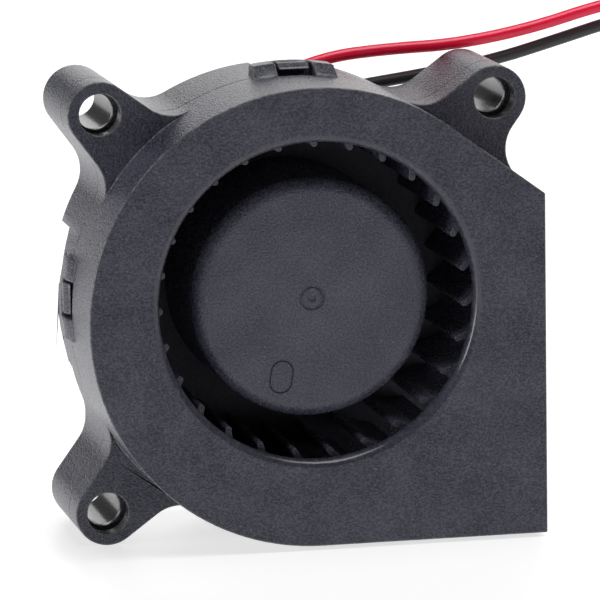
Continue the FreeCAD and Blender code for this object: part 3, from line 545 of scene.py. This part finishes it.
# In the hub sit a cup drawn from steel sheet, which closes the magnet's field, and the ring
# magnet of ferrite powder bound in plastic, pressed into it.
def metal_group():
    """Worked metal, with marks that are stretched the way the tool ran."""
    group = new_group("worked metal", {
        "Bright": (0.62, 0.62, 0.63, 1),
        "Dull": (0.44, 0.44, 0.45, 1),
        "Marks": (900.0, 9000.0, 900.0),
        "Roughness": 0.25,
    }, ("Colour", "Roughness", "Height"))
    nodes, links = group.nodes, group.links
    given = nodes.new("NodeGroupInput")
    put_out = nodes.new("NodeGroupOutput")
    place = nodes.new("ShaderNodeTexCoord")
    run = nodes.new("ShaderNodeMapping")
    links.new(place.outputs["Object"], run.inputs["Vector"])
    links.new(given.outputs["Marks"], run.inputs["Scale"])
    marks = nodes.new("ShaderNodeTexNoise")
    marks.inputs["Scale"].default_value = 1
    marks.inputs["Detail"].default_value = 3
    links.new(run.outputs["Vector"], marks.inputs["Vector"])
    links.new(marks.outputs["Fac"], put_out.inputs["Height"])
    stain = nodes.new("ShaderNodeTexNoise")
    stain.inputs["Scale"].default_value = 420
    stain.inputs["Detail"].default_value = 5
    links.new(place.outputs["Object"], stain.inputs["Vector"])
    mask = nodes.new("ShaderNodeMath")
    mask.operation = "MULTIPLY"
    links.new(marks.outputs["Fac"], mask.inputs[0])
    links.new(stain.outputs["Fac"], mask.inputs[1])
    shown = nodes.new("ShaderNodeMapRange")
    shown.inputs["From Min"].default_value = 0.14
    shown.inputs["From Max"].default_value = 0.36
    links.new(mask.outputs["Value"], shown.inputs["Value"])
    shade = nodes.new("ShaderNodeMix")
    shade.data_type = "RGBA"
    links.new(shown.outputs["Result"], shade.inputs["Factor"])
    links.new(given.outputs["Bright"], shade.inputs["A"])
    links.new(given.outputs["Dull"], shade.inputs["B"])
    links.new(shade.outputs["Result"], put_out.inputs["Colour"])
    uneven = nodes.new("ShaderNodeMath")
    uneven.operation = "MULTIPLY_ADD"
    uneven.inputs[1].default_value = 0.2
    links.new(shown.outputs["Result"], uneven.inputs[0])
    links.new(given.outputs["Roughness"], uneven.inputs[2])
    links.new(uneven.outputs["Value"], put_out.inputs["Roughness"])
    return group


def paint(material, *nodes):
    """Gives a finish to sub-parts that keep their own solid."""
    for node in nodes:
        for slot in frame["nodes"][node].material_slots:
            slot.material = material


metal = metal_group()
drawn_steel = finish("drawn steel", metal, 0.01, metallic=1.0, Bright=(0.62, 0.62, 0.63, 1),
                     Dull=(0.45, 0.45, 0.46, 1), Marks=(5000, 500, 5000), Roughness=0.27)
ferrite = finish("bound ferrite", grain, 0.03, Body=(0.05, 0.047, 0.045, 1),
                 Rubbed=(0.12, 0.115, 0.11, 1), Grain=9000, Contrast=0.5, Flecks=0.8,
                 Roughness=0.42)
paint(drawn_steel, "yoke_cup")
paint(ferrite, "ring_magnet")


# The rotor turns on a ground steel shaft, held in the hub by a brass bush. The shaft runs in
# a sleeve of sintered bronze full of oil, in a brass tube, and slippery plastic washers and
# a pad keep it in place.
ground_steel = finish("ground steel", metal, 0.004, metallic=1.0, Bright=(0.68, 0.68, 0.69, 1),
                      Dull=(0.55, 0.55, 0.56, 1), Marks=(700, 16000, 700), Roughness=0.14)
turned_brass = finish("turned brass", metal, 0.008, metallic=1.0, Bright=(0.8, 0.6, 0.28, 1),
                      Dull=(0.58, 0.4, 0.16, 1), Marks=(700, 11000, 700), Roughness=0.2)
oily_bronze = finish("oily bronze", grain, 0.03, metallic=1.0, Body=(0.34, 0.24, 0.13, 1),
                     Rubbed=(0.6, 0.44, 0.25, 1), Grain=7000, Contrast=0.7, Flecks=0.4,
                     Roughness=0.28)
slip_plastic = finish("slip plastic", grain, 0.01, Body=(0.6, 0.57, 0.48, 1),
                      Rubbed=(0.72, 0.7, 0.62, 1), Grain=4000, Contrast=0.5, Flecks=0.1,
                      Roughness=0.35)
paint(ground_steel, "shaft")
paint(turned_brass, "bearing_tube", "shaft_bush")
paint(oily_bronze, "sleeve_bearing")
paint(slip_plastic, "oil_seal_washer", "thrust_pad", "retaining_ring")


# The stator is a stack of stamped steel sheets between two nylon insulators. Enamelled copper
# wire is wound round each of its four teeth, turn beside turn.
shaft_low, shaft_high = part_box("shaft")
shaft_radius = (shaft_high[2] - shaft_low[2]) / 2


def layered(name, wave, pitch, light, dark, roughness, depth):
    """Metal in fine layers: sheets stacked along the axis, or turns of wire round it. At a
    scale of 1, a wave texture has 10 / pi bands to the metre."""
    material = bpy.data.materials.new(name)
    material.use_nodes = True
    nodes, links = material.node_tree.nodes, material.node_tree.links
    skin = nodes["Principled BSDF"]
    skin.inputs["Metallic"].default_value = 1.0
    skin.inputs["Roughness"].default_value = roughness
    place = nodes.new("ShaderNodeTexCoord")
    centred = nodes.new("ShaderNodeMapping")
    centred.inputs["Location"].default_value = (0, 0, -shaft_low[2] - shaft_radius)
    links.new(place.outputs["Object"], centred.inputs["Vector"])
    layers = nodes.new("ShaderNodeTexWave")
    layers.wave_type = wave
    layers.bands_direction = "Y"
    layers.rings_direction = "Y"
    layers.inputs["Scale"].default_value = math.pi / (10 * pitch * millimetre)
    layers.inputs["Distortion"].default_value = 0.3
    links.new(centred.outputs["Vector"], layers.inputs["Vector"])
    shade = nodes.new("ShaderNodeMix")
    shade.data_type = "RGBA"
    shade.inputs["A"].default_value = dark
    shade.inputs["B"].default_value = light
    links.new(layers.outputs["Fac"], shade.inputs["Factor"])
    links.new(shade.outputs["Result"], skin.inputs["Base Color"])
    bump = nodes.new("ShaderNodeBump")
    bump.inputs["Strength"].default_value = 0.8
    bump.inputs["Distance"].default_value = depth * millimetre
    links.new(layers.outputs["Fac"], bump.inputs["Height"])
    links.new(bump.outputs["Normal"], skin.inputs["Normal"])
    return material


stacked_steel = layered("stacked steel", "BANDS", 0.5, light=(0.46, 0.46, 0.47, 1),
                        dark=(0.16, 0.15, 0.15, 1), roughness=0.38, depth=0.04)
wound_copper = layered("wound copper", "RINGS", 0.16, light=(0.74, 0.31, 0.13, 1),
                       dark=(0.3, 0.09, 0.03, 1), roughness=0.26, depth=0.05)
nylon = finish("natural nylon", grain, 0.015, Body=(0.74, 0.72, 0.64, 1),
               Rubbed=(0.84, 0.82, 0.76, 1), Grain=3600, Contrast=0.5, Flecks=0.15, Roughness=0.3)
paint(stacked_steel, "stator_core")
paint(wound_copper, "winding_1", "winding_2", "winding_3", "winding_4")
paint(nylon, "front_insulator", "rear_insulator")


# The board is glass cloth in resin under a green mask. It carries the driver chip, a resistor
# and a capacitor, and the solder joints of the stator's three pins and of the two leads.
board_green = bpy.data.materials.new("board mask")
board_green.use_nodes = True
board_nodes, board_links = board_green.node_tree.nodes, board_green.node_tree.links
board_skin = board_nodes["Principled BSDF"]
board_skin.inputs["Roughness"].default_value = 0.3
board_skin.inputs["Coat Weight"].default_value = 0.3
board_place = board_nodes.new("ShaderNodeTexCoord")
threads = []
for direction in ("X", "Z"):
    weave = board_nodes.new("ShaderNodeTexWave")
    weave.bands_direction = direction
    weave.inputs["Scale"].default_value = 780
    weave.inputs["Distortion"].default_value = 0.6
    board_links.new(board_place.outputs["Object"], weave.inputs["Vector"])
    threads.append(weave)
cloth = board_nodes.new("ShaderNodeMath")
cloth.operation = "MULTIPLY"
board_links.new(threads[0].outputs["Fac"], cloth.inputs[0])
board_links.new(threads[1].outputs["Fac"], cloth.inputs[1])
green = board_nodes.new("ShaderNodeMix")
green.data_type = "RGBA"
green.inputs["A"].default_value = (0.008, 0.085, 0.03, 1)
green.inputs["B"].default_value = (0.018, 0.15, 0.05, 1)
board_links.new(cloth.outputs["Value"], green.inputs["Factor"])
board_links.new(green.outputs["Result"], board_skin.inputs["Base Color"])
chip_case = finish("moulded epoxy", grain, 0.02, Body=(0.02, 0.02, 0.022, 1),
                   Rubbed=(0.06, 0.06, 0.062, 1), Grain=8000, Contrast=0.4, Flecks=0.3,
                   Roughness=0.45)
fired_clay = finish("fired ceramic", grain, 0.01, Body=(0.38, 0.26, 0.15, 1),
                    Rubbed=(0.5, 0.37, 0.24, 1), Grain=6000, Contrast=0.5, Flecks=0.1,
                    Roughness=0.3)
tin = finish("tin plate", metal, 0.01, metallic=1.0, Bright=(0.75, 0.75, 0.77, 1),
             Dull=(0.55, 0.55, 0.57, 1), Marks=(2500, 1200, 2500), Roughness=0.2)
paint(board_green, "circuit_board")
paint(chip_case, "driver_chip", "resistor")
paint(fired_clay, "capacitor")
for number in ("1", "2", "3"):
    paint(tin, "terminal_pin_" + number, "pin_solder_" + number)
paint(tin, "red_lead_solder", "black_lead_solder")


# The leads end in a two-way housing of natural nylon that lies on its side. Each crimped,
# tinned contact is held by a tongue of its own, which springs into a window of the housing.
plug_low, plug_high = (Vector(corner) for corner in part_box("connector_housing"))
window_length = 2.4 * millimetre
window_height = 1.3 * millimetre
window_depth = 0.8 * millimetre
window_place = 0.55
plug = merged_copy("connector_housing")
window_y = plug_low.y + window_place * (plug_high.y - plug_low.y)
lengthwise = (window_y - window_length / 2, window_y + window_length / 2)
windows = []
for contact in ("contact_1", "contact_2"):
    low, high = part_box(contact)
    middle_z = (low[2] + high[2]) / 2
    windows.append((middle_z - window_height / 2, middle_z + window_height / 2))
for normal, heights in (((0, 1, 0), lengthwise), ((0, 0, 1), windows[0] + windows[1])):
    for height in heights:
        everything = plug.verts[:] + plug.edges[:] + plug.faces[:]
        bmesh.ops.bisect_plane(plug, geom=everything, dist=1e-7, plane_co=Vector(normal) * height,
                               plane_no=normal)
panes = []
for face in plug.faces:
    middle = face.calc_center_median()
    at_window = any(low < middle.z < high for low, high in windows)
    if middle.x > plug_high.x - weld and at_window:
        if lengthwise[0] < middle.y < lengthwise[1]:
            panes.append(face)
sunk = bmesh.ops.extrude_discrete_faces(plug, faces=panes)["faces"]
floor_corners = {corner for face in sunk for corner in face.verts}
bmesh.ops.translate(plug, verts=list(floor_corners), vec=(-window_depth, 0, 0))
connector_shell = rounded(plug, "connector_shell", "connector_housing", "housing",
                          rounding=0.15, room=0, materials=(nylon,))
paint(tin, "contact_1", "contact_2")

bpy.context.view_layer.update()

lead_length(red)
lead_length(black)
